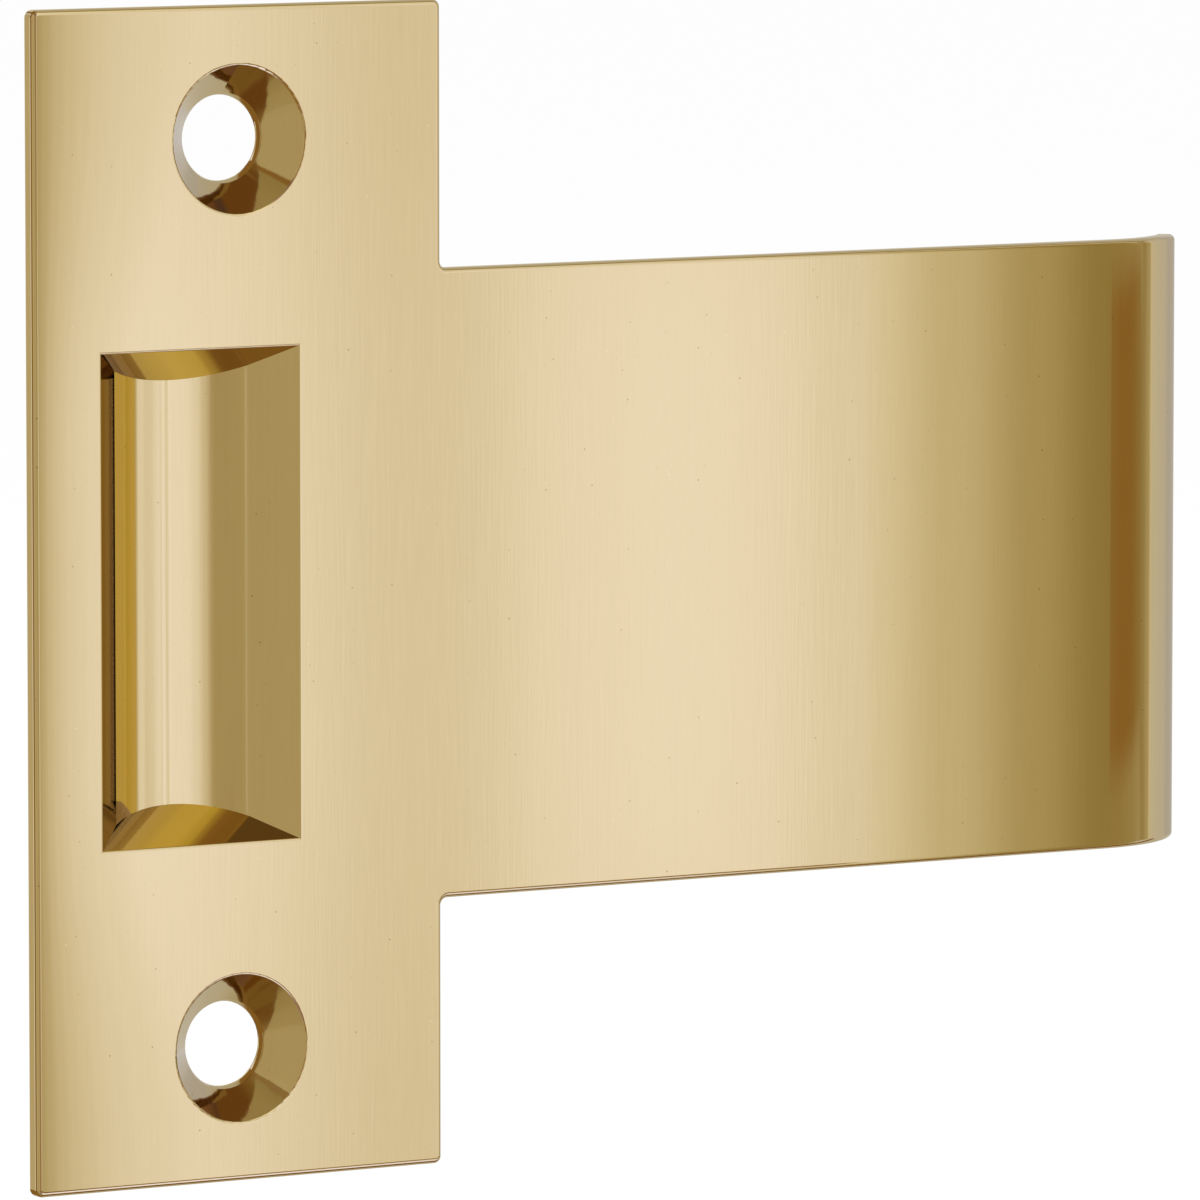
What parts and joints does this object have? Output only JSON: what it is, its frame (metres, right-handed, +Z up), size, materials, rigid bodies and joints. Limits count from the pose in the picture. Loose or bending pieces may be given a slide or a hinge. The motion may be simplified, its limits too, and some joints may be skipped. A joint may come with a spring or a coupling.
{
  "type": "door strike plate",
  "caption": "T-shaped pressed brass strike plate with a closed rounded recess for a door catch, countersunk screw holes and a long lip whose end curls back.",
  "frame": {"origin": "midway between the screw holes, in the back face that seats on the door frame", "axes": "+Y into the door frame, square to the plate; +Z up along the line of the screw holes; +X along the lip, towards its curled end"},
  "size_m": [0.082, 0.005, 0.0698],
  "materials": {
    "brass": "polished, with a fine upright brush grain"
  },
  "bodies": {
    "root": {"strike_plate": "brass"}
  },
  "joints": []
}
